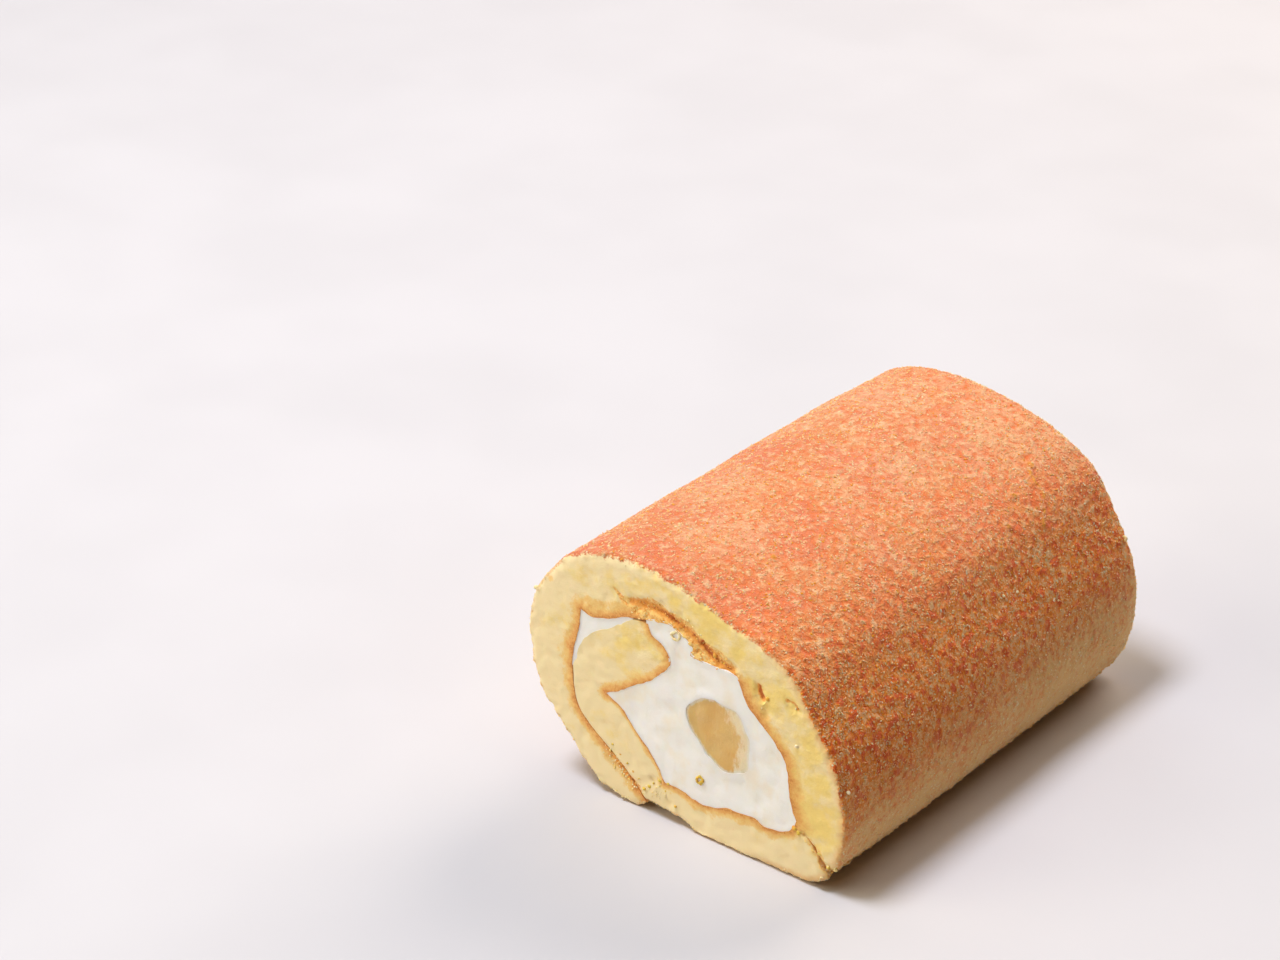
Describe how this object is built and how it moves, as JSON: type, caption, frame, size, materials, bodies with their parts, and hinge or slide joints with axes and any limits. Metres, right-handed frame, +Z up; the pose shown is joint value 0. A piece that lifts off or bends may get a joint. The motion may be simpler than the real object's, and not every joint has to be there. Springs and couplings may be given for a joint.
{
  "type": "swiss roll cake",
  "caption": "Short length of swiss roll cake on its side: one sheet of sponge rolled round whipped cream and a strip of peach, cut square at both ends.",
  "frame": {"origin": "middle of the base, on the surface that the roll lies on", "axes": "+Y along the roll from the cut face with the clearer spiral to the other, +X to the right of that face, +Z up"},
  "size_m": [0.075, 0.098, 0.0534],
  "materials": {
    "sponge": "fuzzy open crumb, pale yellow at the cuts, blushed salmon orange on the outside, golden brown skin inside",
    "cream": "soft satin whipped cream",
    "fruit": "moist translucent peach"
  },
  "bodies": {
    "root": {"sponge": "sponge", "cream": "cream", "cream_tuck": "cream", "fruit": "fruit"}
  },
  "joints": []
}
